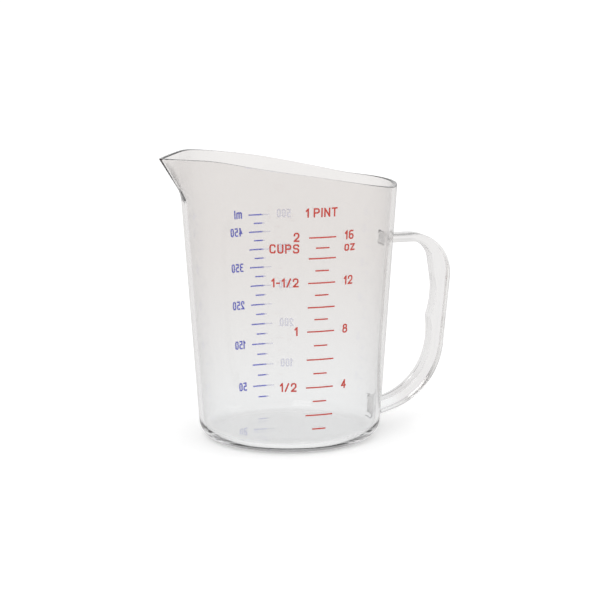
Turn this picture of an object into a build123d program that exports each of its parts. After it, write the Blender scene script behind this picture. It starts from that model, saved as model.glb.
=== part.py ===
from build123d import *
import os
from math import acos, asin, cos, degrees, radians, sin, tan

# A clear moulded mixing cup with a pouring spout, a loop handle and two printed scales.
# The cup's axis is Z and it stands on Z = 0. The spout points along -X, the handle along +X,
# the ounce scale faces -Y and the millilitre scale faces +Y. Lengths are in millimetres.

# Wall and base
base_radius = 40.5  # outside of the wall, carried down to the table
wall_lean = 3.9  # degrees that the wall leans outward
wall = 2.0
floor_thickness = 3.1
base_corner = 8.0  # outside radius between wall and base
floor_corner = 5.5  # inside radius between wall and floor

# Rim
rim_crest_height = 128.6  # top of the slope, before it is rounded
rim_middle_drop = 6.3  # from the crest down to the bend halfway
rim_drop = 14.0  # from the crest down to the level part above the handle
rim_crest_inset = 8.0  # from the wall's outside, at the spout, in to the crest
rim_back_inset = 9.8  # from the wall's outside, at the handle, in to the end of the slope
rim_crest_round = 45.0
rim_middle_round = 500.0
rim_back_round = 45.0
rim_edge_round = 0.6
rim_face_share = 0.5  # how far a rim face's normal points up, at least

# Spout
spout_length = 10.1  # from the wall's circle out to the tip, before its edge is rounded
spout_tip_drop = 0.9  # from the crest down to the tip
spout_slant = 32.0  # degrees that its ridge leans outward
spout_inner_nose = 0.8  # inside radius of the tip, seen from above

# Handle
handle_width = 9.8
handle_top_height = 89.6  # top of the upper arm
upper_arm_thickness = 3.8
grip_thickness = 7.0  # between the outer side and a finger crest
finger_gap = 22.7  # between the wall and the first finger crest
grip_lean = 5.7  # degrees that the grip leans towards the cup at its foot
lower_arm_height = 6.1  # underside of the lower arm at the wall
lower_arm_thickness = 6.6
lower_arm_rise = 16.5  # degrees that the lower arm's underside climbs outward
grip_shoulder_round = 19.0
grip_foot_round = 34.0
shoulder_thickening = 4.7  # how much thicker the grip is at its shoulder
gap_shoulder_round = 10.0
gap_foot_round = 30.0
handle_edge_round = 1.5
root_round = 2.0  # fillet all round each root, where it meets the wall
crest_height_shares = (0.735, 0.512, 0.288)  # up the gap between the two arms
finger_depth = 0.9  # how deep a finger rest is between its crests
crest_stand = 0.7  # how far the middle crest stands proud of the grip
crest_round = 3.0

# Print
ink_thickness = 0.12
print_line = 0.6  # width of every printed line
print_stroke = 0.68  # width of the pen that draws figures and letters
figure_height = 4.0
small_letter_height = 3.1
figure_lift = 0.4  # how far the middle of a figure stands above its line
word_pitch = 5.0  # from a figure down to the unit below it
millilitre_middle_rise = 0.6  # from the full line up to the middle of its unit

# Ounce scale, whose lines are spaced in three steps. Shares are of the last line's height.
last_ounce_drop = 17.8  # from the rim's level part down to the last line
first_ounce_share = 0.124
low_pitch_share = 0.0644
middle_pitch_share = 0.0553
high_pitch_share = 0.0468
ounce_count = 16
middle_from_ounce = 8
high_from_ounce = 14
ounce_long_line = 12.2
ounce_short_line = 6.1
ounce_label_space = 4.1  # from the end of a long line to its figures
ounce_figure_width = 2.5
ounce_figure_gap = 0.65
pint_rise = 10.8  # from the last ounce line up to the middle of the pint words
pint_shift = 0.7  # how far those words stand towards the spout

# Millilitre scale, whose lines follow the inner volume
full_line_drop = 20.2  # from the rim's level part down to the line for the full half litre
full_millilitres = 500
millilitre_step = 25
millilitre_long_line = 10.7
millilitre_short_line = 5.5
millilitre_label_space = 3.5
millilitre_figure_width = 1.95
millilitre_figure_gap = 0.45

# Room for tools that cut right through, and the largest rounding of a wall or a thin arm
overrun = 4.0
round_limit_share = 0.42

lean = tan(radians(wall_lean))
wall_across = wall / cos(radians(wall_lean))
slant = tan(radians(spout_slant))


def outer_radius(height):
    """Outside radius of the plain wall at a height."""
    return base_radius + height * lean


# Levels of the rim and the spout, and the level above both
rim_back_height = rim_crest_height - rim_drop
rim_crest_reach = outer_radius(rim_crest_height) - rim_crest_inset
rim_back_reach = outer_radius(rim_back_height) - rim_back_inset
spout_tip_height = rim_crest_height - spout_tip_drop
spout_reach = outer_radius(spout_tip_height) + spout_length
spout_foot_height = spout_tip_height - spout_length / (slant - lean)
blank_height = rim_crest_height + overrun

# Sections that the wall and the spout are lofted through
spout_nose = spout_inner_nose + wall_across
foot_radius = outer_radius(spout_foot_height)
blank_radius = outer_radius(blank_height)
nose_centre = spout_reach + (blank_height - spout_tip_height) * slant - spout_nose
tangent_angle = degrees(acos((blank_radius - spout_nose) / nose_centre))
nose_angle = degrees(asin(spout_nose * sin(radians(tangent_angle)) / foot_radius))


def round_section(radius):
    """A full circle at the spout's foot, kept as the four edges of the spouted section."""
    plain = 180 - tangent_angle
    side = tangent_angle - nose_angle
    centre = (0, 0, spout_foot_height)
    turns = ((-plain, 2 * plain), (plain, side), (plain + side, 2 * nose_angle), (180 + nose_angle, side))
    return Wire([CenterArc(centre, radius, start, turn) for start, turn in turns])


def spouted_section(radius, nose):
    """A circle above the rim, with two tangent sides that meet in a small round nose."""
    plain = 180 - tangent_angle
    along, across = cos(radians(plain)), sin(radians(plain))
    leave = (radius * along, radius * across, blank_height)
    arrive = (nose * along - nose_centre, nose * across, blank_height)
    return Wire(
        [
            CenterArc((0, 0, blank_height), radius, -plain, 2 * plain),
            Line(leave, arrive),
            CenterArc((-nose_centre, 0, blank_height), nose, plain, 2 * tangent_angle),
            Line((arrive[0], -arrive[1], arrive[2]), (leave[0], -leave[1], leave[2])),
        ]
    )


# Outside and inside of the wall above the spout's foot. These wires are made outside a
# builder, because one would join the arcs of the full circle.
outer_sections = [Face(round_section(foot_radius)), Face(spouted_section(blank_radius, spout_nose))]
inner_sections = [
    Face(round_section(foot_radius - wall_across)),
    Face(spouted_section(blank_radius - wall_across, spout_inner_nose)),
]
with BuildPart() as upper_outside:
    loft(sections=outer_sections, ruled=True)
with BuildPart() as upper_inside:
    loft(sections=inner_sections, ruled=True)

# Cup: floor, wall and spout in one moulding
with BuildPart() as cup_body:
    with BuildSketch(Plane.XZ):
        with BuildLine():
            outside = FilletPolyline(
                (0, 0),
                (base_radius, 0),
                (foot_radius, spout_foot_height),
                radius=base_corner,
            )
            inside = FilletPolyline(
                (foot_radius - wall_across, spout_foot_height),
                (base_radius - wall_across + floor_thickness * lean, floor_thickness),
                (0, floor_thickness),
                radius=floor_corner,
            )
            Line(outside @ 1, inside @ 0)
            Line(inside @ 1, outside @ 0)
        make_face()
    revolve(axis=Axis.Z)
    add(upper_outside.part)
    add(upper_inside.part, mode=Mode.SUBTRACT)

    # The rim slopes from a crest by the spout down to a level part above the handle
    tip_slope = spout_tip_drop / (spout_reach - rim_crest_reach)
    far = 2 * spout_reach
    with BuildSketch(Plane.XZ):
        with BuildLine():
            rim = FilletPolyline(
                (-far, rim_crest_height - (far - rim_crest_reach) * tip_slope),
                (-rim_crest_reach, rim_crest_height),
                (0, rim_crest_height - rim_middle_drop),
                (rim_back_reach, rim_back_height),
                (far, rim_back_height),
                radius=(rim_crest_round, rim_middle_round, rim_back_round),
            )
            Polyline(rim @ 1, (far, far + blank_height), (-far, far + blank_height), rim @ 0)
        make_face()
    extrude(amount=far, both=True, mode=Mode.SUBTRACT)
    rim_faces = cup_body.faces().filter_by(
        lambda face: face.center().Z > spout_foot_height and face.normal_at().Z > rim_face_share
    )
    rim_edges = rim_faces.edges().filter_by(Axis.Y, reverse=True)
    fillet(rim_edges, radius=min(rim_edge_round, wall * round_limit_share))
cup_body.part.label = "cup_body"

# Outline of the handle seen from the side, with its arms run on into the wall
wall_at_top = outer_radius(handle_top_height)
wall_at_foot = outer_radius(lower_arm_height)
grip_slope = tan(radians(grip_lean))
arm_slope = tan(radians(lower_arm_rise))
lower_arm_top = lower_arm_height + lower_arm_thickness
upper_arm_under = handle_top_height - upper_arm_thickness
crest_heights = [lower_arm_top + share * (upper_arm_under - lower_arm_top) for share in crest_height_shares]
grip_reach = wall_at_top + finger_gap + grip_thickness  # outer side, level with the first crest


def grip_line(height, depth):
    """X of a line that runs along the grip, at a depth in from its outer side."""
    return grip_reach - depth - (crest_heights[0] - height) * grip_slope


# The grip's outer side meets the line of the lower arm's underside here
foot_corner_height = (
    lower_arm_height + arm_slope * (grip_line(0, 0) - wall_at_foot)
) / (1 - arm_slope * grip_slope)
foot_corner = (grip_line(foot_corner_height, 0), foot_corner_height)

crest_points = [
    (grip_line(height, grip_thickness + (crest_stand if index == 1 else 0)), height)
    for index, height in enumerate(crest_heights)
]

with BuildSketch(Plane.XZ) as handle_side:
    with BuildLine():
        back = FilletPolyline(
            (0, handle_top_height),
            (grip_line(handle_top_height, 0), handle_top_height),
            foot_corner,
            (0, lower_arm_height - wall_at_foot * arm_slope),
            radius=(grip_shoulder_round, grip_foot_round),
        )
        front = FilletPolyline(
            (0, upper_arm_under),
            (grip_line(upper_arm_under, grip_thickness + shoulder_thickening), upper_arm_under),
            crest_points[0],
            radius=gap_shoulder_round,
        )
        for above, below in zip(crest_points, crest_points[1:]):
            middle = ((above[0] + below[0]) / 2 + finger_depth, (above[1] + below[1]) / 2)
            ThreePointArc(above, middle, below)
        foot_arc = RadiusArc(crest_points[-1], (wall_at_foot, lower_arm_top), gap_foot_round)
        inward = foot_arc % 1
        Polyline(foot_arc @ 1, foot_arc @ 1 - inward * (wall_at_foot / inward.X), back @ 1)
        Line(back @ 0, front @ 0)
    make_face()
    crests = [handle_side.vertices().sort_by_distance(point)[0] for point in crest_points]
    fillet(crests, radius=crest_round)

# The space that the cup fills, which the handle's roots are rounded against and cut to
with BuildPart() as cup_space:
    with BuildSketch(Plane.XZ):
        with BuildLine():
            Polyline(
                (0, -base_radius),
                (outer_radius(-base_radius), -base_radius),
                (outer_radius(blank_height), blank_height),
                (0, blank_height),
                close=True,
            )
        make_face()
    revolve(axis=Axis.Z)

# Handle: two arms and a grip with finger rests
with BuildPart() as handle:
    extrude(handle_side.sketch, amount=handle_width / 2, both=True)
    long_edges = handle.edges().filter_by(Axis.Y, reverse=True)
    long_edges -= handle.edges().group_by(Axis.X)[0]
    fillet(long_edges, radius=min(handle_edge_round, upper_arm_thickness * round_limit_share))
    add(cup_space.part)
    fillet(handle.edges(Select.NEW), radius=root_round)
    add(cup_space.part, mode=Mode.SUBTRACT)
handle.part.label = "handle"

# Print: a thin skin on the wall's outside, which every printed piece is cut from
with BuildPart() as ink_skin:
    with BuildSketch(Plane.XZ):
        with BuildLine():
            Polyline(
                (base_radius, 0),
                (base_radius + ink_thickness, 0),
                (blank_radius + ink_thickness, blank_height),
                (blank_radius, blank_height),
                close=True,
            )
        make_face()
    revolve(axis=Axis.Z)

# Strokes of each character in shares of the pen's path, which is one wide and one high. Each
# stroke has its points and the roundness of its corners, where zero is sharp and one is the
# roundest. A stroke with as many corners as points is closed.
bowl_share = 0.47  # height of the smallest bowl, as a share of a character's height
loop_shares = ((0, 0), (1, 0), (1, 1), (0, 1))
stroke_shares = {
    " ": (),
    "-": ((((0, 0.45), (1, 0.45)), ()),),
    "/": ((((0, 0), (1, 1)), ()),),
    "0": ((loop_shares, (0.96, 0.96, 0.96, 0.96)),),
    "1": ((((0, 0.74), (1, 1), (1, 0)), (0,)),),
    "2": ((((0, 0.72), (0, 1), (1, 1), (1, 0.55), (0, 0), (1, 0)), (0.9, 0.9, 0.8, 0)),),
    "3": (
        (((0, 1), (1, 1), (1, 0.53), (0.35, 0.53)), (0.9, 0.9)),
        (((0.35, 0.53), (1, 0.53), (1, 0), (0, 0)), (0.9, 0.9)),
    ),
    "4": ((((0.75, 0), (0.75, 1)), ()), (((0.75, 1), (0, 0.3), (1, 0.3)), (0,))),
    "5": ((((0.95, 1), (0.08, 1), (0.08, 0.56), (1, 0.56), (1, 0), (0, 0)), (0, 0, 0.9, 0.9)),),
    "6": (
        (((0.9, 1), (0, 1), (0, 0.3)), (0.9,)),
        (((0, 0), (1, 0), (1, 0.55), (0, 0.55)), (0.9, 0.9, 0.9, 0.9)),
    ),
    "8": (
        (((0.08, 0.54), (0.92, 0.54), (0.92, 1), (0.08, 1)), (0.7, 0.7, 0.7, 0.7)),
        (((0, 0), (1, 0), (1, 0.54), (0, 0.54)), (0.9, 0.9, 0.9, 0.9)),
    ),
    "C": ((((1, 0.8), (1, 1), (0, 1), (0, 0), (1, 0), (1, 0.2)), (0.36, 0.9, 0.9, 0.36)),),
    "I": ((((0, 0), (0, 1)), ()),),
    "N": ((((0, 0), (0, 1), (1, 0), (1, 1)), (0, 0)),),
    "P": ((((0, 0), (0, 1)), ()), (((0, 1), (1, 1), (1, 0.48), (0, 0.48)), (0.85, 0.85))),
    "S": (
        (
            ((1, 0.82), (1, 1), (0, 1), (0, 0.52), (1, 0.52), (1, 0), (0, 0), (0, 0.18)),
            (0.3, 0.85, 0.85, 0.85, 0.85, 0.3),
        ),
    ),
    "T": ((((0, 1), (1, 1)), ()), (((0.5, 1), (0.5, 0)), ())),
    "U": ((((0, 1), (0, 0), (1, 0), (1, 1)), (0.9, 0.9)),),
    "l": ((((0, 0), (0, 1)), ()),),
    "m": ((((0, 0), (0, 1), (0.5, 1), (0.5, 0)), (0.2, 0.2)), (((0.5, 1), (1, 1), (1, 0)), (0.2,))),
    "o": ((loop_shares, (0.96, 0.96, 0.96, 0.96)),),
    "z": ((((0, 1), (1, 1), (0, 0), (1, 0)), (0, 0)),),
}
width_shares = {" ": 0, "I": 0, "l": 0, "1": 0.42, "-": 0.54, "/": 0.74, "o": 0.92, "z": 0.92}
width_shares.update({"C": 1.1, "P": 1.1, "S": 1.1, "T": 1.1, "U": 1.1, "N": 1.15, "m": 1.95})


def label_width(text, figure_width, gap):
    """Width of a line of text, from the first stroke's left side to the last one's right side."""
    pens = [(figure_width - print_stroke) * width_shares.get(letter, 1) for letter in text]
    return sum(pens) + len(text) * print_stroke + (len(text) - 1) * gap


def character(letter, height, figure_width):
    """One character, drawn with a square-ended pen, with its lower left corner at the origin."""
    across = (figure_width - print_stroke) * width_shares.get(letter, 1)
    upward = height - print_stroke
    half_pen = print_stroke / 2
    roundest = min(across, upward * bowl_share) / 2
    with BuildSketch() as drawn:
        for points, rounds in stroke_shares[letter]:
            path = [Vector(half_pen + x * across, half_pen + y * upward) for x, y in points]
            closed = len(rounds) == len(points)
            if not closed:
                starts, ends = path[0] - path[1], path[-1] - path[-2]
                path[0] += starts.normalized() * half_pen
                path[-1] += ends.normalized() * half_pen
            radii = [half_pen + share * (roundest - half_pen) if share else 0 for share in rounds]
            with BuildLine() as pen:
                if rounds:
                    FilletPolyline(*path, radius=radii, close=closed)
                else:
                    Line(*path)
            trace(pen.line, line_width=print_stroke)
        Rectangle(across + print_stroke, height, align=Align.MIN, mode=Mode.INTERSECT)
    return drawn.sketch


def facing_plane(facing, shift, height):
    """Upright plane through the axis that faces a label, at a shift along the wall from a scale."""
    angle = radians(facing) + shift / outer_radius(height)
    return Plane(origin=(0, 0, 0), x_dir=(-sin(angle), cos(angle), 0), z_dir=(cos(angle), sin(angle), 0))


def printed(labels):
    """Ink of labels, each with a facing, shift, text, foot, heights, figure width and gap."""
    with BuildPart() as piece:
        for facing, shift, text, bottom, heights, figure_width, gap in labels:
            with BuildSketch(facing_plane(facing, shift, bottom)):
                left = -label_width(text, figure_width, gap) / 2
                for letter, height in zip(text, heights):
                    if stroke_shares[letter]:
                        with Locations((left, bottom)):
                            add(character(letter, height, figure_width))
                    left += label_width(letter, figure_width, gap) + gap
            extrude(amount=blank_radius + overrun)
        add(ink_skin.part, mode=Mode.INTERSECT)
    return piece.part


def printed_lines(facing, heights, length):
    """Ink of a scale's level lines."""
    with BuildPart() as piece:
        with BuildSketch(facing_plane(facing, 0, 0)):
            with Locations([(0, height) for height in heights]):
                Rectangle(length, print_line)
        extrude(amount=blank_radius + overrun)
        add(ink_skin.part, mode=Mode.INTERSECT)
    return piece.part


# Ounce scale
ounce_facing = -90  # degrees about the axis
last_ounce_height = rim_back_height - last_ounce_drop
ounce_heights = {1: first_ounce_share * last_ounce_height}
for ounce in range(2, ounce_count + 1):
    if ounce > high_from_ounce:
        pitch_share = high_pitch_share
    elif ounce > middle_from_ounce:
        pitch_share = middle_pitch_share
    else:
        pitch_share = low_pitch_share
    ounce_heights[ounce] = ounce_heights[ounce - 1] + pitch_share * last_ounce_height
even_ounces = [height for ounce, height in ounce_heights.items() if ounce % 2 == 0]
odd_ounces = [height for ounce, height in ounce_heights.items() if ounce % 2 == 1]

# Millilitre scale. The space below a line is a cone's frustum, less the floor's corner, and
# its volume goes with the difference of two cubes.
millilitre_facing = 90
full_line_height = rim_back_height - full_line_drop
floor_radius = outer_radius(floor_thickness) - wall_across
full_radius = outer_radius(full_line_height) - wall_across


def millilitre_height(millilitres):
    """Height of the line for a volume."""
    share = millilitres / full_millilitres
    cube = floor_radius**3 + share * (full_radius**3 - floor_radius**3)
    return floor_thickness + (cube ** (1 / 3) - floor_radius) / lean


millilitre_steps = range(millilitre_step, full_millilitres + 1, millilitre_step)
long_millilitres = [value for value in millilitre_steps if value % (2 * millilitre_step) == 0]
short_millilitres = [value for value in millilitre_steps if value not in long_millilitres]


def beside(text, side, long_line, space, figure_width, gap):
    """Shift of a label that starts or ends at a space beside the long lines, where side is 1 or -1."""
    return side * (long_line / 2 + space + label_width(text, figure_width, gap) / 2)


def ounce_label(text, side, middle, height=figure_height):
    """A label of the ounce scale, to the reader's right (1) or left (-1)."""
    shape = (ounce_figure_width, ounce_figure_gap)
    shift = beside(text, side, ounce_long_line, ounce_label_space, *shape)
    return (ounce_facing, shift, text, middle - figure_height / 2, [height] * len(text), *shape)


def millilitre_label(text, side, middle, heights=None):
    """A label of the millilitre scale, to the reader's right (1) or left (-1)."""
    shape = (millilitre_figure_width, millilitre_figure_gap)
    shift = beside(text, side, millilitre_long_line, millilitre_label_space, *shape)
    heights = heights or [figure_height] * len(text)
    return (millilitre_facing, shift, text, middle - figure_height / 2, heights, *shape)


top_word_height = ounce_heights[ounce_count] + figure_lift - word_pitch
pint_foot = ounce_heights[ounce_count] + pint_rise - figure_height / 2
pint_text = "1 PINT"
print_parts = {
    "ounce_long_lines": printed_lines(ounce_facing, even_ounces, ounce_long_line),
    "ounce_short_lines": printed_lines(ounce_facing, odd_ounces, ounce_short_line),
    "ounce_figures": printed(
        [ounce_label(str(ounce), 1, ounce_heights[ounce] + figure_lift) for ounce in (4, 8, 12, 16)]
    ),
    "ounce_unit": printed([ounce_label("oz", 1, top_word_height, small_letter_height)]),
    "cup_figures": printed(
        [
            ounce_label(text, -1, ounce_heights[ounce] + figure_lift)
            for text, ounce in (("1/2", 4), ("1", 8), ("1-1/2", 12), ("2", 16))
        ]
    ),
    "cup_unit": printed([ounce_label("CUPS", -1, top_word_height)]),
    "pint_mark": printed(
        [
            (
                ounce_facing,
                -pint_shift,
                pint_text,
                pint_foot,
                [figure_height] * len(pint_text),
                ounce_figure_width,
                ounce_figure_gap,
            )
        ]
    ),
    "millilitre_long_lines": printed_lines(
        millilitre_facing, [millilitre_height(value) for value in long_millilitres], millilitre_long_line
    ),
    "millilitre_short_lines": printed_lines(
        millilitre_facing, [millilitre_height(value) for value in short_millilitres], millilitre_short_line
    ),
    "millilitre_hundred_figures": printed(
        [
            millilitre_label(str(value), -1, millilitre_height(value) + figure_lift)
            for value in long_millilitres[1::2]
        ]
    ),
    "millilitre_fifty_figures": printed(
        [
            millilitre_label(str(value), 1, millilitre_height(value) + figure_lift)
            for value in long_millilitres[::2]
        ]
    ),
    "millilitre_unit": printed(
        [
            millilitre_label(
                "ml", 1, full_line_height + millilitre_middle_rise, [small_letter_height, figure_height]
            )
        ]
    ),
}

os.makedirs("parts", exist_ok=True)
export_step(cup_body.part, "parts/cup_body.step")
export_step(handle.part, "parts/handle.step")
for name, piece in print_parts.items():
    piece.label = name
    export_step(piece, f"parts/{name}.step")
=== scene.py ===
"""Looks of a clear mixing cup: a glossy moulding with spout and loop handle, and two printed scales."""
from math import acos, asin, atan2, cos, pi, radians, sin, sqrt, tan

import bmesh
import bpy
from mathutils import Matrix, Vector


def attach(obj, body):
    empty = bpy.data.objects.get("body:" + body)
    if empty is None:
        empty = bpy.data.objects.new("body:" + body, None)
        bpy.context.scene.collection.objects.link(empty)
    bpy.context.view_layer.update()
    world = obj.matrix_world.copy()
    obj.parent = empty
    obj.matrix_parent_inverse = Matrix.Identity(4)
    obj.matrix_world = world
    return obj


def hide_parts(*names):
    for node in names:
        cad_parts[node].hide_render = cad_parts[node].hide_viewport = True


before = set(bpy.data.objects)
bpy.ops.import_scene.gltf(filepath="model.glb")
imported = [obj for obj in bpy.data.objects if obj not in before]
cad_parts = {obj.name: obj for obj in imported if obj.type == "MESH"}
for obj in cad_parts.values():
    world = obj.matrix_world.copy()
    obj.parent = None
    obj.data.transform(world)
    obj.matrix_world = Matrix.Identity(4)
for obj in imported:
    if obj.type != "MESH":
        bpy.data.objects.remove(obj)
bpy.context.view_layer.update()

bl_info = {
    "name": "Resin mixing cup",
    "version": (1, 0, 0),
    "blender": (4, 5, 0),
    "location": "View3D > Sidebar > Mixing cup",
    "description": "Builds a clear moulded mixing cup with its printed scales and a plain studio",
    "category": "Add Mesh",
}

MM = 0.001
BODY = "root"
RED_PRINT = (
    "ounce_long_lines",
    "ounce_short_lines",
    "ounce_figures",
    "ounce_unit",
    "cup_figures",
    "cup_unit",
    "pint_mark",
)
BLUE_PRINT = (
    "millilitre_long_lines",
    "millilitre_short_lines",
    "millilitre_hundred_figures",
    "millilitre_fifty_figures",
    "millilitre_unit",
)

# How finely the cup is cut
ABOVE_RIM = 4 * MM  # level over the rim's crest up to which the walls are worked out
RIM_PASSES = 12  # how often a column's height is read again from the rim
PLAIN_COLUMNS = 201
SPOUT_SIDE_COLUMNS = 26
SPOUT_NOSE_COLUMNS = 16
FLAT_SHARES = (0.25, 0.5, 0.75, 0.94)  # rings on the base and the floor, as shares of their radius
WALL_SHARES = (0.02, 0.1, 0.3, 0.5, 0.7, 0.9)  # rings on the plain wall, as shares of its height
CORNER_STEPS = 12
SPOUT_RISES = 10  # rings from the spout's foot up to the rim
EDGE_STEPS = 6
WELD = 0.001 * MM  # points closer than this become one

# How finely the handle is cut
OUTER_STATIONS = 320
INNER_STATIONS = 500
INNER_SOFTENING = 4  # how often the finger crests are evened out
GAP_FOOT_STEPS = 40
ROOT_STEPS = 8
ROOT_NEXT = 3  # how many points along an arm its direction at the root is taken
ROOT_CLEARANCE = 1.2  # plain sections start this many fillets away from the wall
BEND_REACH = 8 * MM  # how far from the wall the arms follow its curve
EDGE_LIMIT = 0.84  # largest edge radius, as a share of half the thickness
SECTION_CORNERS = ((1, 1), (-1, 1), (-1, -1), (1, -1))
SECTION_CORNER_STEPS = 6
FLAT_CUTS = 10
SIDE_CUTS = 3

# The plastic
LOW_PAINTED_LIGHT_TOP = 10 * MM  # the base's paler tint, painted light, ends here
PAINTED_SHADE_RISE = 75 * MM  # and has turned into the rim's darker tint, painted shade, over this height
# painted shade: along X, past the cup, the tint turns to the greyer handle tint
HANDLE_SHADE_START = 49 * MM
HANDLE_SHADE_LENGTH = 5 * MM
# painted shade: the grazing shade weakens at the spout, from here along X
SPOUT_SHADE_START = -44 * MM
SPOUT_SHADE_LENGTH = -20 / 3 * MM
# painted shade: a darker tint where a wall turns away from the view
GRAZING_SHADE_POWER = 3.0
GRAZING_SHADE_AMOUNT = 0.9
SPOUT_SHADE_LOSS = 0.65  # how much weaker the painted grazing shade is at the spout
FLOW_STRETCH = (1.0, 1.0, 0.25)
RIPPLE_DEPTH = 2 * MM
HAZE = 0.02

# The ink
THIN_SPOTS = ((0.35, 0.0), (0.75, 1.0))
SPOT_STRENGTH = 0.5
PALE_INK = 0.12
DEEP_INK = 0.82
# the blue ink turns paler and partly see-through along X
PALER_TINT = 0.9
PALER_COVER_LOSS = 0.45
PALER_UNEVEN = 0.5
INK_UNEVEN = 0.16
INK_REFRACTION = 1.45
INK_RELIEF = 0.15
INK_RELIEF_DEPTH = 0.1 * MM

# The studio
FLOOR_SIDES = 64
FLOOR_ROUGHNESS = 0.75
FLOOR_GRAIN = 0.1
FLOOR_LIFT = 0.2  # the floor's own light, as the camera sees it
SKY_BANDS = ((0.0, 1.0), (0.25, 0.95), (0.42, 0.45), (0.7, 0.4), (0.82, 1.0))
LAMPS = (
    # name, place, width in metres, watts
    ("key", (-0.7, -0.9, 1.1), 0.6, 3.0),
    ("side", (1.1, -0.3, 0.7), 0.4, 1.2),
)
BOUNCES = 32
MIRROR_BOUNCES = 16
SENSOR_WIDTH = 36
SIGHT_END = 200


def length(label, description, millimetres):
    """A length setting, given in millimetres and kept in metres."""
    return bpy.props.FloatProperty(
        name=label,
        description=description,
        default=millimetres * MM,
        min=0,
        unit="LENGTH",
        subtype="DISTANCE",
    )


def angle(label, description, degrees):
    """An angle setting, given in degrees and kept in radians."""
    return bpy.props.FloatProperty(
        name=label, description=description, default=radians(degrees), unit="ROTATION", subtype="ANGLE"
    )


def number(label, description, value):
    """A plain number setting."""
    return bpy.props.FloatProperty(name=label, description=description, default=value, precision=3)


def colour(label, description, value):
    """A colour setting, as linear red, green and blue."""
    return bpy.props.FloatVectorProperty(
        name=label, description=description, default=value, size=3, min=0, max=1, subtype="COLOR"
    )


class CupSizes(bpy.types.PropertyGroup):
    """Sizes of the cup's wall, base, rim and spout."""

    base_radius: length("Base radius", "Outside of the wall, carried down to the table", 40.5)
    wall_lean: angle("Wall lean", "How far the wall leans outward", 3.9)
    wall: length("Wall", "Thickness of the wall", 2.0)
    floor_thickness: length("Floor", "Thickness of the floor", 3.1)
    base_corner: length("Base corner", "Outside radius between wall and base", 8.0)
    floor_corner: length("Floor corner", "Inside radius between wall and floor", 5.5)
    rim_crest_height: length("Rim crest", "Top of the rim's slope", 128.6)
    rim_middle_drop: length("Rim middle drop", "From the crest down to the bend halfway", 6.3)
    rim_drop: length("Rim drop", "From the crest down to the level part", 14.0)
    rim_crest_inset: length("Rim crest inset", "From the wall at the spout in to the crest", 8.0)
    rim_back_inset: length("Rim back inset", "From the wall at the handle in to the end of the slope", 9.8)
    rim_crest_round: length("Rim crest round", "Radius of the bend at the crest", 45.0)
    rim_middle_round: length("Rim middle round", "Radius of the bend halfway", 500.0)
    rim_back_round: length("Rim back round", "Radius of the bend above the handle", 45.0)
    rim_edge_round: length("Rim edge round", "Radius of the rim's edges", 0.6)
    spout_length: length("Spout length", "From the wall's circle out to the tip", 10.1)
    spout_tip_drop: length("Spout tip drop", "From the crest down to the tip", 0.9)
    spout_slant: angle("Spout slant", "How far the spout's ridge leans outward", 32.0)
    spout_inner_nose: length("Spout nose", "Inside radius of the tip, seen from above", 0.8)
    spout_foot_blend: length("Spout foot blend", "Height over which the spout grows out of the wall", 3.0)
    skin: length("Skin", "How far the wall covers the foot of the print", 0.02)


class HandleSizes(bpy.types.PropertyGroup):
    """Sizes of the handle's two arms and its grip."""

    width: length("Width", "Width of the handle", 9.8)
    top_height: length("Top height", "Top of the upper arm", 89.6)
    upper_arm_thickness: length("Upper arm", "Thickness of the upper arm", 3.8)
    grip_thickness: length("Grip", "From the outer side to a finger crest", 7.0)
    finger_gap: length("Finger gap", "From the wall to the first finger crest", 22.7)
    grip_lean: angle("Grip lean", "How far the grip leans towards the cup at its foot", 5.7)
    lower_arm_height: length("Lower arm height", "Underside of the lower arm at the wall", 6.1)
    lower_arm_thickness: length("Lower arm", "Thickness of the lower arm", 6.6)
    lower_arm_rise: angle("Lower arm rise", "How the lower arm's underside climbs outward", 16.5)
    shoulder_round: length("Shoulder round", "Outer radius of the shoulder", 19.0)
    foot_round: length("Foot round", "Outer radius of the foot", 34.0)
    shoulder_thickening: length("Shoulder thickening", "How much thicker the grip is at its shoulder", 4.7)
    gap_shoulder_round: length("Gap shoulder round", "Inner radius of the shoulder", 10.0)
    gap_foot_round: length("Gap foot round", "Inner radius of the foot", 30.0)
    edge_round: length("Edge round", "Radius of the long edges", 1.5)
    root_round: length("Root round", "Fillet round each root", 2.0)
    finger_depth: length("Finger rest", "Depth of a finger rest between its crests", 0.9)
    crest_stand: length("Crest stand", "How far the middle crest stands proud of the grip", 0.7)
    crest_shares: bpy.props.FloatVectorProperty(
        name="Crest heights",
        description="Heights of the finger crests, as shares of the gap",
        default=(0.735, 0.512, 0.288),
        size=3,
    )


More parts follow.
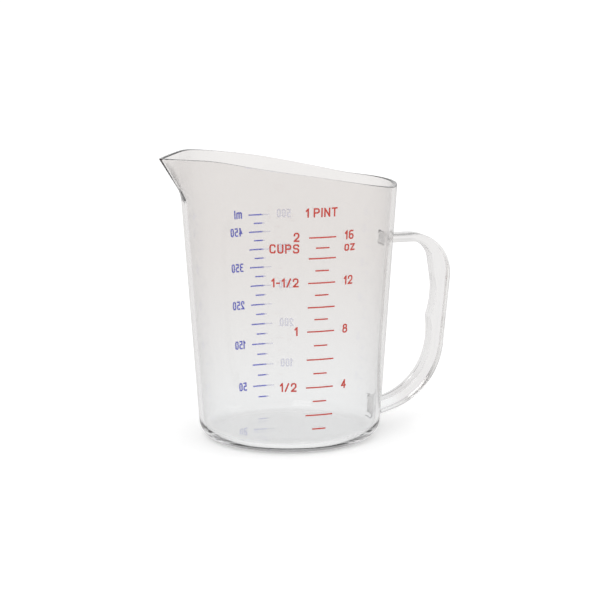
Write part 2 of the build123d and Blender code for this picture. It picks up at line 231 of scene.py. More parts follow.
class Finish(bpy.types.PropertyGroup):
    """Colours and surface of the plastic and the ink."""

    # painted shade: the plastic is given a darker tint towards the rim
    plastic: colour("Plastic", "Tint of the clear plastic near the rim", (0.878, 0.86, 0.848))
    # painted light: the plastic is given a paler tint near the base
    low_painted_light: colour("Plastic low down", "Tint of the clear plastic near the base", (0.925, 0.93, 0.932))
    # painted shade: the handle is given a greyer tint than the cup
    handle: colour("Handle plastic", "Tint of the clear plastic in the handle", (0.85, 0.84, 0.835))
    # painted shade: the dark tint laid on where a wall turns away from the view
    edge: colour("Plastic at grazing sight", "Tint where the wall turns away", (0.42, 0.405, 0.405))
    plastic_roughness: number("Plastic roughness", "Roughness of the polished moulding", 0.025)
    refraction: number("Refraction", "Index of refraction of the plastic", 1.49)
    ripple: number("Ripple", "Strength of the faint flow ripples of the moulding", 0.02)
    red: colour("Red ink", "Colour of the ounce scale", (0.64, 0.045, 0.025))
    blue: colour("Blue ink", "Colour of the millilitre scale", (0.11, 0.13, 1.0))
    # along X the blue ink turns towards this paler colour and partly see-through
    paler_blue: colour("Thin blue ink", "Colour of the blue ink where it is thin", (0.72, 0.73, 0.95))
    paler_from: length("Thin ink from", "Where along X the blue ink starts to thin out", 1.0)
    paler_over: length("Thin ink over", "Length over which the blue ink thins out", 1.2)
    blue_glow: number(
        "Blue translucency", "How much light the blue ink lets through in its own colour", 0.75
    )
    red_glow: number("Red translucency", "How much light the red ink lets through in its own colour", 0.1)
    ink_roughness: number("Ink roughness", "Roughness of the dry ink", 0.42)


class Studio(bpy.types.PropertyGroup):
    """Camera, floor and light."""

    azimuth: angle("Camera azimuth", "Turn of the camera about the cup", -18.2114)
    elevation: angle("Camera elevation", "How far the camera looks down", 10.3947)
    roll: angle("Camera roll", "Turn of the camera about its own axis", -0.1695)
    distance: length("Camera distance", "From the camera to the point that it looks at", 889.998)
    lens: number("Lens", "Focal length in millimetres on a sensor 36 mm wide", 118.6992)
    aim_right: length("Aim to the right", "How far the point looked at lies right of the axis", 4.8836)
    aim_height: length("Aim height", "Height of the point looked at", 61.6524)
    floor: colour("Floor", "Colour of the floor", (0.97, 0.97, 0.97))
    floor_mirrored: colour("Mirrored floor", "Colour of the floor in reflections", (0.78, 0.77, 0.77))
    floor_gap: length("Floor gap", "Thin air between the cup and the floor", 0.05)
    floor_reach: length("Floor reach", "Radius of the floor", 60000.0)
    sky: number("Sky", "Strength of the even white light", 0.93)


def rounded_path(corners, radii, step):
    """Points along a polyline whose inner corners are rounded, with arcs cut at about a step."""
    points = [Vector(corners[0])]
    for before, corner, after, radius in zip(corners, corners[1:], corners[2:], radii):
        corner = Vector(corner)
        inward = (Vector(before) - corner).normalized()
        outward = (Vector(after) - corner).normalized()
        turn = pi - inward.angle(outward)
        tangent = radius * tan(turn / 2)
        middle = (inward + outward).normalized()
        centre = corner + middle * (radius / cos(turn / 2))
        start = corner + inward * tangent - centre
        sign = 1 if inward.x * outward.y - inward.y * outward.x < 0 else -1
        count = max(2, int(radius * turn / step) + 1)
        for index in range(count + 1):
            swing = sign * turn * index / count
            points.append(centre + Matrix.Rotation(swing, 2) @ start)
    points.append(Vector(corners[-1]))
    return points


def bowed(start, end, radius, depth, count):
    """Points of an arc from start to end, without its start, its middle moved by depth along +X."""
    half = asin((end - start).length / 2 / radius)
    along = (end - start).normalized()
    across = Vector((-along.y, along.x))
    if across.x < 0:
        across = -across
    centre = (start + end) / 2 + across * (depth - radius)
    return [
        centre + (across * cos(turn) + along * sin(turn)) * radius
        for turn in (half * (2 * index / count - 1) for index in range(1, count + 1))
    ]


def arc_between(start, end, depth, step):
    """Points of a shallow arc of a depth, cut at about a step."""
    chord = (end - start).length
    radius = (chord * chord / 4 + depth * depth) / (2 * depth)
    half = asin(chord / 2 / radius)
    return bowed(start, end, radius, depth, max(4, int(2 * half * radius / step)))


def evened(points, count):
    """A given number of points at even steps along a path."""
    reach = [0.0]
    for first, second in zip(points, points[1:]):
        reach.append(reach[-1] + (second - first).length)
    out, index = [], 0
    for place in range(count):
        target = reach[-1] * place / (count - 1)
        while index < len(points) - 2 and reach[index + 1] < target:
            index += 1
        span = reach[index + 1] - reach[index]
        share = (target - reach[index]) / span if span else 0
        out.append(points[index].lerp(points[index + 1], min(share, 1)))
    return out


def softened(points, passes):
    """A path whose inner points are averaged with their neighbours, which rounds its corners."""
    for _ in range(passes):
        points = (
            [points[0]]
            + [(a + b * 2 + c) / 4 for a, b, c in zip(points, points[1:], points[2:])]
            + [points[-1]]
        )
    return points


def mesh_from(name, vertices, faces):
    """A mesh object in the scene."""
    mesh = bpy.data.meshes.new(name)
    mesh.from_pydata(vertices, [], faces)
    mesh.validate()
    mesh.update()
    piece = bpy.data.objects.new(name, mesh)
    bpy.context.scene.collection.objects.link(piece)
    return piece


def closed_from_rings(name, rings, first_cap, last_cap):
    """A closed mesh through rings of points, with each end closed by a fan about a point or by one face."""
    across = len(rings[0])
    vertices = [point for ring in rings for point in ring]
    faces = [
        (
            row * across + column,
            row * across + (column + 1) % across,
            (row + 1) * across + (column + 1) % across,
            (row + 1) * across + column,
        )
        for row in range(len(rings) - 1)
        for column in range(across)
    ]
    for ring, cap, reverse in ((0, first_cap, True), (len(rings) - 1, last_cap, False)):
        loop = [ring * across + column for column in range(across)]
        if reverse:
            loop.reverse()
        if cap is None:
            faces.append(tuple(loop))
            continue
        vertices.append(cap)
        faces += [(loop[index - 1], loop[index], len(vertices) - 1) for index in range(across)]
    return mesh_from(name, vertices, faces)


class CupWall:
    """Points on the cup's outside and inside, worked out from its sizes."""

    def __init__(self, sizes):
        self.sizes = sizes
        self.lean = tan(sizes.wall_lean)
        self.slant = tan(sizes.spout_slant)
        self.across = sizes.wall / cos(sizes.wall_lean)
        self.back_height = sizes.rim_crest_height - sizes.rim_drop
        self.tip_height = sizes.rim_crest_height - sizes.spout_tip_drop
        self.reach = self.radius(self.tip_height) + sizes.spout_length
        self.foot = self.tip_height - sizes.spout_length / (self.slant - self.lean)
        self.top = sizes.rim_crest_height + ABOVE_RIM
        self.nose = sizes.spout_inner_nose + self.across
        self.nose_centre = self.reach + (self.top - self.tip_height) * self.slant - self.nose
        self.tangent = acos((self.radius(self.top) - self.nose) / self.nose_centre)
        self.nose_turn = asin(self.nose * sin(self.tangent) / self.radius(self.foot))
        self.rim = self.rim_path()

    def radius(self, height):
        """Outside radius of the plain wall at a height."""
        return self.sizes.base_radius + height * self.lean

    def rim_path(self):
        """The rim seen from the side, from the spout to the handle."""
        sizes = self.sizes
        crest = self.radius(sizes.rim_crest_height) - sizes.rim_crest_inset
        back = self.radius(self.back_height) - sizes.rim_back_inset
        far = 2 * self.reach
        slope = sizes.spout_tip_drop / (self.reach - crest)
        corners = [
            (-far, sizes.rim_crest_height - (far - crest) * slope),
            (-crest, sizes.rim_crest_height),
            (0, sizes.rim_crest_height - sizes.rim_middle_drop),
            (back, self.back_height),
            (far, self.back_height),
        ]
        radii = (sizes.rim_crest_round, sizes.rim_middle_round, sizes.rim_back_round)
        return rounded_path(corners, radii, MM)

    def rim_height(self, x):
        """Height of the rim at a distance along X."""
        for first, second in zip(self.rim, self.rim[1:]):
            if first.x <= x <= second.x and second.x > first.x:
                return first.y + (second.y - first.y) * (x - first.x) / (second.x - first.x)
        return self.rim[-1].y

    def columns(self, plain_count, side_count, nose_count):
        """For each column, its direction at the spout's foot, and how the spout moves it at the top."""
        plain = pi - self.tangent
        side = self.tangent - self.nose_turn
        found = []
        for index in range(plain_count):
            turn = -plain + 2 * plain * index / plain_count
            found.append((turn, "plain", 0))
        for index in range(side_count):
            share = index / side_count
            found.append((plain + side * share, "side", share))
        for index in range(nose_count):
            share = index / nose_count
            found.append((pi - self.nose_turn + 2 * self.nose_turn * share, "nose", share))
        for index in range(side_count):
            share = index / side_count
            found.append((pi + self.nose_turn + side * share, "back side", share))
        return found

    def top_point(self, column, inward):
        """Where a column's line reaches the level above the rim, at a distance in from the outside."""
        turn, kind, share = column
        radius = self.radius(self.top) - inward
        nose = self.nose - inward
        plain = pi - self.tangent
        leave = Vector((radius * cos(plain), radius * sin(plain), self.top))
        arrive = Vector((nose * cos(plain) - self.nose_centre, nose * sin(plain), self.top))
        if kind == "side":
            return leave.lerp(arrive, share)
        if kind == "nose":
            swing = plain + 2 * self.tangent * share
            return Vector((nose * cos(swing) - self.nose_centre, nose * sin(swing), self.top))
        if kind == "back side":
            point = arrive.lerp(leave, share)
            return Vector((point.x, -point.y, point.z))
        return Vector((radius * cos(turn), radius * sin(turn), self.top))

    def point(self, column, height, inward):
        """A point of a column at a height, at a distance in from the outside."""
        turn = column[0]
        radius = self.radius(height) - inward
        plain = Vector((radius * cos(turn), radius * sin(turn), height))
        if column[1] == "plain":
            return plain
        radius = self.radius(self.top) - inward
        moved = self.top_point(column, inward) - Vector((radius * cos(turn), radius * sin(turn), self.top))
        blend = self.sizes.spout_foot_blend
        rise = height - self.foot
        if rise < -blend:
            return plain
        grown = (rise + blend) ** 2 / (4 * blend) if rise < blend else rise
        return plain + moved * (grown / (self.top - self.foot))

    def rim_point(self, column, inward):
        """Where a column meets the rim."""
        height = self.back_height
        for _ in range(RIM_PASSES):
            height = self.rim_height(self.point(column, height, inward).x)
        return self.point(column, height, inward)


def cup_rings(wall):
    """Rings of the cup's surface, from the underside's middle over the rim to the floor's middle."""
    sizes = wall.sizes
    skin = sizes.skin
    columns = wall.columns(PLAIN_COLUMNS, SPOUT_SIDE_COLUMNS, SPOUT_NOSE_COLUMNS)
    half_turn = (pi / 2 - sizes.wall_lean) / 2

    def circle(radius, height):
        return [Vector((radius * cos(column[0]), radius * sin(column[0]), height)) for column in columns]

    flat = sizes.base_radius - sizes.base_corner * tan(half_turn)
    outer = [circle(flat * share, 0) for share in FLAT_SHARES]
    for index in range(CORNER_STEPS + 1):
        turn = (pi / 2 - sizes.wall_lean) * index / CORNER_STEPS
        outer.append(circle(flat + sizes.base_corner * sin(turn), sizes.base_corner * (1 - cos(turn))))
    corner_top = outer[-1][0].z
    below = wall.foot - sizes.spout_foot_blend
    levels = [corner_top + (below - corner_top) * share for share in (*WALL_SHARES, 1)]
    outer += [[wall.point(column, level, -skin) for column in columns] for level in levels]

    rims = [(wall.rim_point(column, -skin), wall.rim_point(column, wall.across)) for column in columns]
    rounding = sizes.rim_edge_round
    lower = [wall.point(column, below, -skin) for column in columns]
    inner_lower = [wall.point(column, below, wall.across) for column in columns]
    for index in range(1, SPOUT_RISES + 1):
        ring = []
        for column, (outside, _) in zip(columns, rims):
            height = below + (outside.z - rounding - below) * index / SPOUT_RISES
            ring.append(wall.point(column, height, -skin))
        outer.append(ring)
    edge_rings = [[] for _ in range(2 * EDGE_STEPS + 1)]
    for (outside, inside), low_out, low_in in zip(rims, lower, inner_lower):
        across = (inside - outside).normalized()
        up_out = (outside - low_out).normalized()
        up_in = (inside - low_in).normalized()
        for index in range(EDGE_STEPS):
            turn = pi / 2 * (index + 1) / EDGE_STEPS
            point = outside + across * rounding * (1 - cos(turn)) - up_out * rounding * (1 - sin(turn))
            edge_rings[index].append(point)
            turn = pi / 2 * (EDGE_STEPS - index - 1) / EDGE_STEPS
            point = inside - across * rounding * (1 - cos(turn)) - up_in * rounding * (1 - sin(turn))
            edge_rings[EDGE_STEPS + 1 + index].append(point)
        edge_rings[EDGE_STEPS].append(inside - across * rounding)
    outer += edge_rings

    inner = []
    for index in range(SPOUT_RISES):
        ring = []
        for column, (_, inside) in zip(columns, rims):
            height = below + (inside.z - rounding - below) * (SPOUT_RISES - 1 - index) / SPOUT_RISES
            ring.append(wall.point(column, height, wall.across))
        inner.append(ring)
    floor_edge = sizes.base_radius - wall.across + sizes.floor_thickness * wall.lean
    floor_flat = floor_edge - sizes.floor_corner * tan(half_turn)
    corner = []
    for index in range(CORNER_STEPS + 1):
        turn = (pi / 2 - sizes.wall_lean) * (1 - index / CORNER_STEPS)
        height = sizes.floor_thickness + sizes.floor_corner * (1 - cos(turn))
        corner.append(circle(floor_flat + sizes.floor_corner * sin(turn), height))
    corner_top = corner[0][0].z
    levels = [corner_top + (below - corner_top) * share for share in reversed(WALL_SHARES)]
    inner += [[wall.point(column, level, wall.across) for column in columns] for level in levels]
    inner += corner
    inner += [circle(floor_flat * share, sizes.floor_thickness) for share in reversed(FLAT_SHARES)]
    return outer + inner


class HandleSide:
    """Outer and inner outline of the handle seen from the side, from the upper arm to the lower one."""

    def __init__(self, sizes, wall):
        self.sizes = sizes
        self.wall = wall
        self.slope = tan(sizes.grip_lean)
        self.under = sizes.top_height - sizes.upper_arm_thickness
        self.lower_top = sizes.lower_arm_height + sizes.lower_arm_thickness
        gap = self.under - self.lower_top
        self.crests = [self.lower_top + share * gap for share in sizes.crest_shares]
        self.reach = wall.radius(sizes.top_height) + sizes.finger_gap + sizes.grip_thickness

    def grip_line(self, height, depth):
        """X of a line along the grip at a depth in from its outer side."""
        return self.reach - depth - (self.crests[0] - height) * self.slope

    def outer(self):
        """Points of the outer side, from the axis out along the upper arm and back along the lower one."""
        sizes = self.sizes
        climb = tan(sizes.lower_arm_rise)
        at_wall = self.wall.radius(sizes.lower_arm_height)
        low = (sizes.lower_arm_height + climb * (self.grip_line(0, 0) - at_wall)) / (1 - climb * self.slope)
        corners = [
            (0, sizes.top_height),
            (self.grip_line(sizes.top_height, 0), sizes.top_height),
            (self.grip_line(low, 0), low),
            (0, sizes.lower_arm_height - at_wall * climb),
        ]
        return rounded_path(corners, (sizes.shoulder_round, sizes.foot_round), MM)

    def inner(self):
        """Points of the inner side, with its finger rests."""
        sizes = self.sizes
        stands = [sizes.crest_stand if index == 1 else 0 for index in range(len(self.crests))]
        crests = [
            Vector((self.grip_line(height, sizes.grip_thickness + stand), height))
            for height, stand in zip(self.crests, stands)
        ]
        shoulder_depth = sizes.grip_thickness + sizes.shoulder_thickening
        shoulder = (self.grip_line(self.under, shoulder_depth), self.under)
        points = rounded_path([(0, self.under), shoulder, crests[0]], [sizes.gap_shoulder_round], MM)
        for above, below in zip(crests, crests[1:]):
            points += arc_between(above, below, sizes.finger_depth, MM)
        end = Vector((self.wall.radius(sizes.lower_arm_height), self.lower_top))
        chord = (end - crests[-1]).length
        radius = sizes.gap_foot_round
        depth = radius - sqrt(radius ** 2 - chord * chord / 4)
        arc = bowed(crests[-1], end, radius, depth, GAP_FOOT_STEPS)
        inward = (arc[-1] - arc[-2]).normalized()
        return points + arc + [arc[-1] + inward * (end.x / -inward.x)]

    def paired(self, outer, inner):
        """Each outer point with the inner point in line with it, seen from the wall at mid gap."""
        middle = (self.under + self.lower_top) / 2
        eye = Vector((self.wall.radius(middle), middle))

        def turn(point):
            away = point - eye
            return atan2(away.x - away.y * self.wall.lean, away.y)

        turns = [turn(point) for point in inner]
        inner_points, index = [], 0
        for point in outer:
            target = turn(point)
            while index < len(turns) - 2 and turns[index + 1] < target:
                index += 1
            share = (target - turns[index]) / (turns[index + 1] - turns[index])
            inner_points.append(inner[index].lerp(inner[index + 1], min(max(share, 0), 1)))
        return outer, inner_points


def from_wall(path, wall, reverse):
    """The part of a path outside the cup's wall, starting at the wall."""
    points = list(reversed(path)) if reverse else list(path)
    for index, (first, second) in enumerate(zip(points, points[1:])):
        gap_first = first.x - wall.radius(first.y)
        gap_second = second.x - wall.radius(second.y)
        if gap_first < 0 <= gap_second:
            share = -gap_first / (gap_second - gap_first)
            return [first.lerp(second, share)] + points[index + 1:]
    return points


def outside_wall(path, wall):
    """The part of a path outside the cup's wall, from where it leaves the wall to where it comes back."""
    return list(reversed(from_wall(from_wall(path, wall, False), wall, True)))


def handle_rings(sizes, wall):
    """Rings round the handle, from inside the cup's wall at one root to inside it at the other."""
    side = HandleSide(sizes, wall)
    inner = softened(evened(outside_wall(side.inner(), wall), INNER_STATIONS), INNER_SOFTENING)
    outer, inner = side.paired(evened(outside_wall(side.outer(), wall), OUTER_STATIONS), inner)
    root = sizes.root_round
    steps = [root * (1 - cos(pi / 2 * index / ROOT_STEPS)) for index in range(ROOT_STEPS + 1)]
    bury = wall.sizes.wall / 2

    def root_stations(outer_end, outer_next, inner_end, inner_next):
        outer_way = (outer_next - outer_end).normalized()
        inner_way = (inner_next - inner_end).normalized()
        found = []
        for gap in [-bury] + steps:
            outside = outer_end + outer_way * (gap / outer_way.x)
            inside = inner_end + inner_way * (gap / inner_way.x)
            found.append((outside, inside, gap))
        return found

    first = root_stations(outer[0], outer[ROOT_NEXT], inner[0], inner[ROOT_NEXT])
    last = root_stations(outer[-1], outer[-1 - ROOT_NEXT], inner[-1], inner[-1 - ROOT_NEXT])
    middle = [
        (a, b, root)
        for a, b in zip(outer, inner)
        if min(a.x - wall.radius(a.y), b.x - wall.radius(b.y)) > root * ROOT_CLEARANCE
    ]
    rings = []
    for outside, inside, gap in first + middle + last[::-1]:
        flare = root - sqrt(max(root * root - (root - max(gap, 0)) ** 2, 0)) if gap < root else 0
        rings.append(handle_ring(sizes, wall, outside, inside, flare))
    return rings


def handle_ring(sizes, wall, outside, inside, flare):
    """One rounded section of the handle, grown on all sides by a flare at its roots."""
    up = outside - inside
    thick = up.length / 2
    up.normalize()
    centre = (outside + inside) / 2
    rounding = min(sizes.edge_round, thick * EDGE_LIMIT)
    half = sizes.width / 2
    ring = []

    def placed(across, rise):
        flat = centre + up * rise
        radius = wall.radius(flat.y)
        gap = max(flat.x - radius, 0)
        bend = (sqrt(radius * radius - across * across) - radius) * max(0, 1 - gap / BEND_REACH)
        return Vector((flat.x + bend, across, flat.y))

    for corner, (side, vertical) in enumerate(SECTION_CORNERS):
        for index in range(SECTION_CORNER_STEPS + 1):
            turn = pi / 2 * (corner + index / SECTION_CORNER_STEPS)
            across = side * (half - rounding) + (rounding + flare) * cos(turn)
            rise = vertical * (thick - rounding) + (rounding + flare) * sin(turn)
            ring.append(placed(across, rise))
        following = SECTION_CORNERS[(corner + 1) % len(SECTION_CORNERS)]
        start = (side * (half - rounding), vertical * (thick - rounding))
        end = (following[0] * (half - rounding), following[1] * (thick - rounding))
        turn = pi / 2 * (corner + 1)
        cuts = FLAT_CUTS if corner % 2 == 0 else SIDE_CUTS
        for index in range(1, cuts):
            share = index / cuts
            across = start[0] + (end[0] - start[0]) * share + (rounding + flare) * cos(turn)
            rise = start[1] + (end[1] - start[1]) * share + (rounding + flare) * sin(turn)
            ring.append(placed(across, rise))
    return ring


def joined(piece, other):
    """Piece with other fused to it."""
    modifier = piece.modifiers.new("join", "BOOLEAN")
    modifier.operation = "UNION"
    modifier.solver = "EXACT"
    modifier.object = other
    bpy.context.view_layer.update()
    evaluated = piece.evaluated_get(bpy.context.evaluated_depsgraph_get())
    mesh = bpy.data.meshes.new_from_object(evaluated)
    piece.modifiers.clear()
    piece.data = mesh
    bpy.data.objects.remove(other)
    work = bmesh.new()
    work.from_mesh(mesh)
    bmesh.ops.remove_doubles(work, verts=work.verts, dist=WELD)
    bmesh.ops.dissolve_degenerate(work, dist=WELD, edges=work.edges)
    work.to_mesh(mesh)
    work.free()
    return piece


def fix_outward(piece):
    """Turn a closed mesh's faces outward."""
    work = bmesh.new()
    work.from_mesh(piece.data)
    bmesh.ops.recalc_face_normals(work, faces=work.faces)
    work.to_mesh(piece.data)
    work.free()


def shade(piece):
    """Smooth shading, with normals that follow the larger faces."""
    for polygon in piece.data.polygons:
        polygon.use_smooth = True
    weighted = piece.modifiers.new("weighted", "WEIGHTED_NORMAL")
    weighted.keep_sharp = True


class Socket:
    """An output of a node that can be used in sums, each of which adds a Math node."""

    def __init__(self, tree, output):
        self.tree = tree
        self.output = output

    def math(self, operation, first, second):
        sockets = {"Value": first, "Value_001": second}
        return self.tree.add("ShaderNodeMath", {"operation": operation}, sockets)

    def __add__(self, other):
        return self.math("ADD", self, other)

    __radd__ = __add__

    def __sub__(self, other):
        return self.math("SUBTRACT", self, other)

    def __rsub__(self, other):
        return self.math("SUBTRACT", other, self)

    def __mul__(self, other):
        return self.math("MULTIPLY", self, other)

    __rmul__ = __mul__

    def __pow__(self, other):
        return self.math("POWER", self, other)


class Tree:
    """The nodes of a material or of the world."""

    def __init__(self, owner):
        owner.use_nodes = True
        self.nodes = owner.node_tree.nodes
        self.links = owner.node_tree.links
        self.nodes.clear()

    def add(self, kind, settings=None, sockets=None, output=0):
        """A node of a type, with its settings set first and then its sockets, and one of its outputs."""
        node = self.nodes.new(kind)
        for name, value in (settings or {}).items():
            if name == "stops":
                for index, (place, tone) in enumerate(value):
                    elements = node.color_ramp.elements
                    element = elements[index] if index < 2 else elements.new(place)
                    element.position = place
                    element.color = (tone, tone, tone, 1)
            else:
                setattr(node, name, value)
        by_name = {socket.identifier: socket for socket in node.inputs}
        for name, value in (sockets or {}).items():
            if isinstance(value, Socket):
                self.links.new(value.output, by_name[name])
            else:
                by_name[name].default_value = value
        if isinstance(output, str):
            return Socket(self, next(socket for socket in node.outputs if socket.identifier == output))
        return Socket(self, node.outputs[output])

    def noise(self, place, scale, detail, roughness):
        """A noise pattern."""
        sockets = {"Vector": place, "Scale": scale, "Detail": detail, "Roughness": roughness}
        return self.add("ShaderNodeTexNoise", {}, sockets)

    def ramp(self, value, start, length):
        """From 0 to 1 over a length, beginning at a start, and level before and after it."""
        return self.add("ShaderNodeClamp", {}, {"Value": (value - start) * (1 / length)})

    def mixed(self, share, first, second):
        """One colour turning into another."""
        names = {"Factor_Float": share, "A_Color": first, "B_Color": second}
        return self.add("ShaderNodeMix", {"data_type": "RGBA"}, names, "Result_Color")

    def finish(self, shader, kind="ShaderNodeOutputMaterial"):
        """Send a shader to the output."""
        node = self.nodes.new(kind)
        self.links.new(shader.output, node.inputs["Surface"])


def opaque(values):
    """A colour with full alpha."""
    return (*values, 1)


def clear_plastic(finish):
    """Glossy clear plastic with faint flow ripples and a little haze, whose tint holds painted shade
    (darker near the rim, in the handle and where a wall turns away) and painted light (paler near the
    base).
    """
    material = bpy.data.materials.new("clear_plastic")
    tree = Tree(material)
    place = tree.add("ShaderNodeTexCoord", output="Object")
    stretched = tree.add("ShaderNodeMapping", {}, {"Vector": place, "Scale": FLOW_STRETCH})
    flow = tree.noise(stretched, scale=38.0, detail=1.0, roughness=0.4)
    haze = tree.noise(place, scale=260.0, detail=3.0, roughness=0.6)
    facing = tree.add("ShaderNodeLayerWeight", {}, {"Blend": 0.5}, "Facing")
    rise = tree.add("ShaderNodeSeparateXYZ", {}, {"Vector": place}, "Z")
    # painted shade and light: the tint turns from paler at the base to darker at the rim
    rim_shade_share = tree.ramp(rise, LOW_PAINTED_LIGHT_TOP, PAINTED_SHADE_RISE)
    body = tree.mixed(rim_shade_share, opaque(finish.low_painted_light), opaque(finish.plastic))
    outward = tree.add("ShaderNodeSeparateXYZ", {}, {"Vector": place}, "X")
    # painted shade: a greyer tint in the handle
    handle_shade_share = tree.ramp(outward, HANDLE_SHADE_START, HANDLE_SHADE_LENGTH)
    body = tree.mixed(handle_shade_share, body, opaque(finish.handle))
    # painted shade: a darker tint where the wall turns away from the view, weaker at the spout
    spout = tree.ramp(outward, SPOUT_SHADE_START, SPOUT_SHADE_LENGTH)
    grazing_shade_share = facing ** GRAZING_SHADE_POWER * (GRAZING_SHADE_AMOUNT - spout * SPOUT_SHADE_LOSS)
    tint = tree.mixed(grazing_shade_share, body, opaque(finish.edge))
    relief = {"Strength": finish.ripple, "Distance": RIPPLE_DEPTH, "Height": flow}
    bump = tree.add("ShaderNodeBump", {}, relief)
    shader = tree.add(
        "ShaderNodeBsdfPrincipled",
        {},
        {
            "Base Color": tint,
            "Roughness": haze * HAZE + (finish.plastic_roughness - HAZE / 2),
            "IOR": finish.refraction,
            "Transmission Weight": 1.0,
            "Normal": bump,
        },
    )
    tree.finish(shader)
    return material


def ink(name, tone, paler_tone, glow, finish):
    """Printed ink, a little uneven as a screen leaves it, and along X turning paler and partly see-through
    towards a paler tone.
    """
    material = bpy.data.materials.new(name)
    tree = Tree(material)
    place = tree.add("ShaderNodeTexCoord", output="Object")
    mottle = tree.noise(place, scale=900.0, detail=3.0, roughness=0.6)
    patches = tree.noise(place, scale=120.0, detail=1.0, roughness=0.5)
    spots = tree.add("ShaderNodeValToRGB", {"stops": THIN_SPOTS}, {"Fac": mottle})
    pale = [value + (1 - value) * PALE_INK for value in tone]
    deep = [value * DEEP_INK for value in tone]
    body = tree.mixed(patches, opaque(tone), opaque(deep))
    cover = 1.0
    if paler_tone:
        # along X the ink turns paler and partly see-through
        parts = tree.add("ShaderNodeSeparateXYZ", {}, {"Vector": place}, "X")
        late = tree.ramp(parts, finish.paler_from, finish.paler_over)
        body = tree.mixed(late * PALER_TINT, body, opaque(paler_tone))
        cover = 1 - late * (mottle * PALER_UNEVEN + PALER_COVER_LOSS)
    spotted = tree.mixed(spots * SPOT_STRENGTH, body, opaque(pale))
    relief = {"Strength": INK_RELIEF, "Distance": INK_RELIEF_DEPTH, "Height": mottle}
    bump = tree.add("ShaderNodeBump", {}, relief)
    shader = tree.add(
        "ShaderNodeBsdfPrincipled",
        {},
        {
            "Base Color": spotted,
            "Roughness": mottle * INK_UNEVEN + (finish.ink_roughness - INK_UNEVEN / 2),
            "IOR": INK_REFRACTION,
            "Alpha": cover,
            "Transmission Weight": glow,
            "Normal": bump,
        },
    )
    tree.finish(shader)
    return material


def floor_finish(studio):
    """A plain pale floor, which shines by itself in the plastic and in its reflections."""
    material = bpy.data.materials.new("studio_floor")
    tree = Tree(material)
    place = tree.add("ShaderNodeTexCoord", output="Object")
    grain = tree.noise(place, scale=3.0, detail=2.0, roughness=0.5)
    seen = tree.add("ShaderNodeLightPath", output="Is Camera Ray")
    through = tree.add("ShaderNodeLightPath", output="Is Transmission Ray")
    mirrored = tree.add("ShaderNodeLightPath", output="Is Glossy Ray")
    bright = through.math("MAXIMUM", through, mirrored)
    shown = tree.mixed(mirrored * (1 - through), (1, 1, 1, 1), opaque(studio.floor_mirrored))
    lifted = tree.mixed(seen, (0, 0, 0, 1), opaque([FLOOR_LIFT] * 3))
    shader = tree.add(
        "ShaderNodeBsdfPrincipled",
        {},
        {
            "Base Color": tree.mixed(bright, opaque(studio.floor), (0, 0, 0, 1)),
            "Roughness": grain * FLOOR_GRAIN + FLOOR_ROUGHNESS,
            "Specular IOR Level": 0.0,
            "Emission Color": tree.mixed(bright, lifted, shown),
            "Emission Strength": 1.0,
        },
    )
    tree.finish(shader)
    return material


class CUP_OT_moulding(bpy.types.Operator):
    """Build the clear moulding: cup, spout and handle in one piece"""

    bl_idname = "mixing_cup.moulding"
    bl_label = "Clear moulding"

    def execute(self, context):
        scene = context.scene
        wall = CupWall(scene.cup_sizes)
        middle_floor = Vector((0, 0, scene.cup_sizes.floor_thickness))
        moulding = closed_from_rings("moulding", cup_rings(wall), Vector((0, 0, 0)), middle_floor)
        loop = closed_from_rings("handle_loop", handle_rings(scene.handle_sizes, wall), None, None)
        for piece in (moulding, loop):
            fix_outward(piece)
        moulding = joined(moulding, loop)
        shade(moulding)
        moulding.data.materials.clear()
        moulding.data.materials.append(clear_plastic(scene.cup_finish))
        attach(moulding, BODY)
        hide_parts("cup_body", "handle")
        return {"FINISHED"}


class CUP_OT_print(bpy.types.Operator):
    """Give the two printed scales their ink"""

    bl_idname = "mixing_cup.print"
    bl_label = "Printed scales"

    def execute(self, context):
        finish = context.scene.cup_finish
        for name, tone, paler_tone, glow, nodes in (
            ("red_ink", finish.red, None, finish.red_glow, RED_PRINT),
            ("blue_ink", finish.blue, finish.paler_blue, finish.blue_glow, BLUE_PRINT),
        ):
            material = ink(name, tone, paler_tone, glow, finish)
            for node in nodes:
                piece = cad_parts[node]
                piece.data.materials.clear()
                piece.data.materials.append(material)
        return {"FINISHED"}


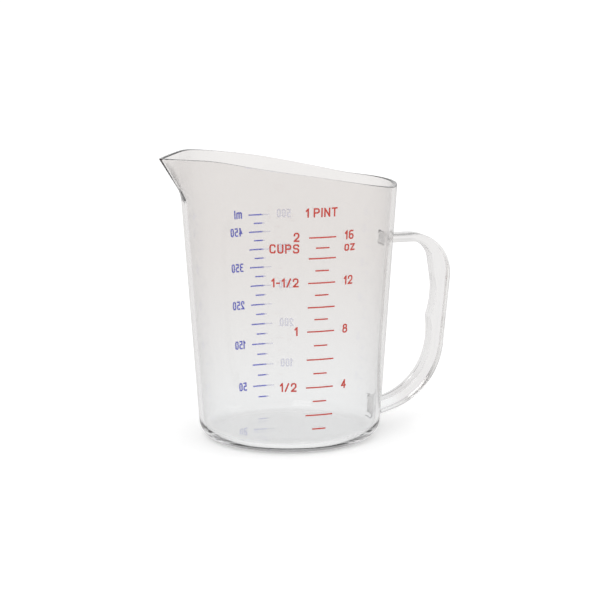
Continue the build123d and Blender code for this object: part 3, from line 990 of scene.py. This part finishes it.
class CUP_OT_stage(bpy.types.Operator):
    """Set up the floor, the even light, the lamps and the camera"""

    bl_idname = "mixing_cup.stage"
    bl_label = "Studio"

    def execute(self, context):
        scene = context.scene
        studio = scene.cup_studio
        reach = studio.floor_reach
        turns = [2 * pi * index / FLOOR_SIDES for index in range(FLOOR_SIDES)]
        rim = [Vector((reach * cos(turn), reach * sin(turn), -studio.floor_gap)) for turn in turns]
        floor = mesh_from("floor", rim, [tuple(range(FLOOR_SIDES))])
        floor.data.materials.append(floor_finish(studio))
        world = bpy.data.worlds.new("studio_light")
        scene.world = world
        tree = Tree(world)
        seen = tree.add("ShaderNodeLightPath", output="Is Camera Ray")
        lit = tree.add("ShaderNodeLightPath", output="Diffuse Depth")
        plain = seen.math("MAXIMUM", seen, seen.math("MINIMUM", lit, 1.0))
        direction = tree.add("ShaderNodeTexCoord", output="Generated")
        rise = tree.add("ShaderNodeSeparateXYZ", {}, {"Vector": direction}, "Z")
        bands = tree.add("ShaderNodeValToRGB", {"stops": SKY_BANDS}, {"Fac": rise}, "Color")
        sky = tree.mixed(plain, bands, (1, 1, 1, 1))
        strength = seen * (1 - studio.sky) + studio.sky
        background = tree.add("ShaderNodeBackground", {}, {"Color": sky, "Strength": strength})
        tree.finish(background, "ShaderNodeOutputWorld")
        for name, place, width, power in LAMPS:
            lamp = bpy.data.lights.new(name, "AREA")
            lamp.size = width
            lamp.energy = power
            holder = bpy.data.objects.new(name, lamp)
            holder.location = place
            holder.rotation_euler = (-Vector(place)).to_track_quat("-Z", "Y").to_euler()
            scene.collection.objects.link(holder)
        place_camera(scene, studio)
        scene.view_settings.view_transform = "Standard"
        scene.cycles.max_bounces = BOUNCES
        scene.cycles.transmission_bounces = BOUNCES
        scene.cycles.glossy_bounces = MIRROR_BOUNCES
        return {"FINISHED"}


def place_camera(scene, studio):
    """The camera at the photograph's viewing angle."""
    back = Vector(
        (
            sin(studio.azimuth) * cos(studio.elevation),
            -cos(studio.azimuth) * cos(studio.elevation),
            sin(studio.elevation),
        )
    )
    right = Vector((cos(studio.azimuth), sin(studio.azimuth), 0))
    up = back.cross(right)
    rolled_right = right * cos(studio.roll) + up * sin(studio.roll)
    rolled_up = up * cos(studio.roll) - right * sin(studio.roll)
    place = Vector((0, 0, studio.aim_height)) + right * studio.aim_right + back * studio.distance
    camera = bpy.data.cameras.new("camera")
    camera.lens = studio.lens
    camera.sensor_width = SENSOR_WIDTH
    camera.clip_end = SIGHT_END
    holder = bpy.data.objects.new("camera", camera)
    turn = Matrix((rolled_right, rolled_up, back)).transposed().to_4x4()
    holder.matrix_world = Matrix.Translation(place) @ turn
    scene.collection.objects.link(holder)
    scene.camera = holder


class CUP_PT_panel(bpy.types.Panel):
    """Settings and steps of the mixing cup"""

    bl_idname = "CUP_PT_panel"
    bl_label = "Mixing cup"
    bl_space_type = "VIEW_3D"
    bl_region_type = "UI"
    bl_category = "Mixing cup"

    def draw(self, context):
        for group_name in GROUPS:
            box = self.layout.box()
            group = getattr(context.scene, group_name)
            for name in group.__annotations__:
                box.prop(group, name)
        for operator in OPERATORS:
            self.layout.operator(operator.bl_idname)


GROUPS = {"cup_sizes": CupSizes, "handle_sizes": HandleSizes, "cup_finish": Finish, "cup_studio": Studio}
OPERATORS = (CUP_OT_moulding, CUP_OT_print, CUP_OT_stage)


def register():
    """Add the classes and the scene's settings."""
    for found in (*GROUPS.values(), *OPERATORS, CUP_PT_panel):
        bpy.utils.register_class(found)
    for name, group in GROUPS.items():
        setattr(bpy.types.Scene, name, bpy.props.PointerProperty(type=group))


def unregister():
    """Take the settings and the classes away again."""
    for name in GROUPS:
        delattr(bpy.types.Scene, name)
    for found in (CUP_PT_panel, *reversed(OPERATORS), *reversed(GROUPS.values())):
        bpy.utils.unregister_class(found)


def main():
    """Build the cup and its studio."""
    register()
    bpy.ops.mixing_cup.moulding()
    bpy.ops.mixing_cup.print()
    bpy.ops.mixing_cup.stage()


if __name__ == "__main__":
    main()
